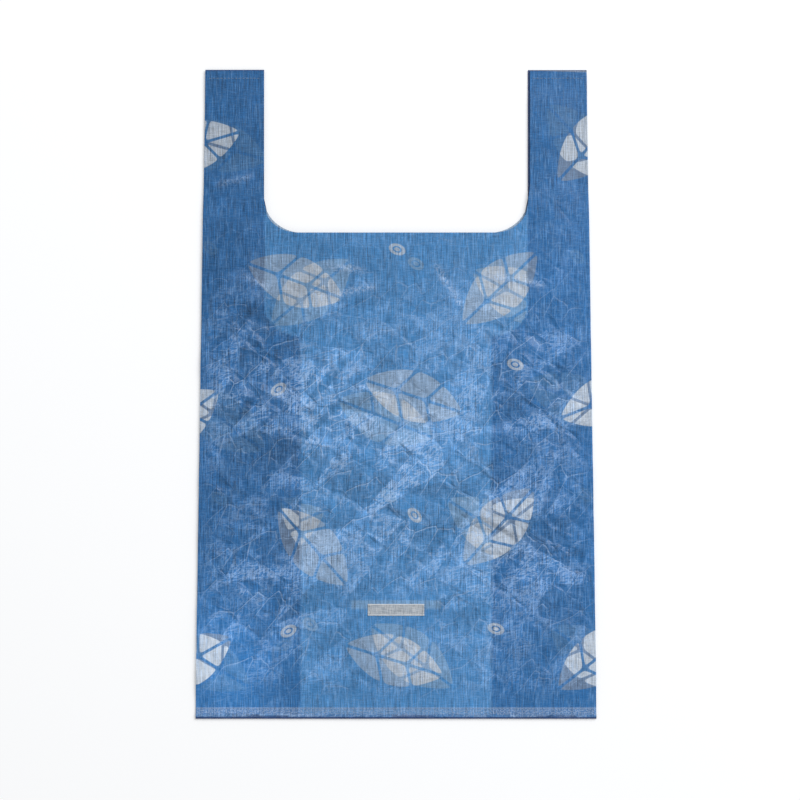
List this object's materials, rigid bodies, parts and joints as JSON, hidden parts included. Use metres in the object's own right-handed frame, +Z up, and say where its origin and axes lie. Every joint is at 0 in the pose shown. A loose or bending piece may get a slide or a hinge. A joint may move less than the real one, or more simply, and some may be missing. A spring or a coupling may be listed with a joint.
{
  "type": "plastic carrier bag",
  "caption": "Reusable carrier bag of thin woven plastic fabric with two handles cut in one with it and side gussets, lying pressed flat, with a sewn-on label and a printed leaf pattern.",
  "frame": {"origin": "on the surface that the bag lies on, under the middle of the bag", "axes": "+X to the right across the bag seen from its front, +Y along the bag from its bottom seam to its handles, +Z up from the back panel to the front panel"},
  "size_m": [0.3056, 0.4946, 0.0054],
  "materials": {
    "bag_fabric": "thin woven plastic fabric with a fine crosshatch of threads, printed blue with pale leaves, crumpled, with a soft sheen",
    "label": "woven off-white ribbon, matte"
  },
  "bodies": {
    "root": {"bag_body": "bag_fabric", "label": "label"}
  },
  "joints": []
}
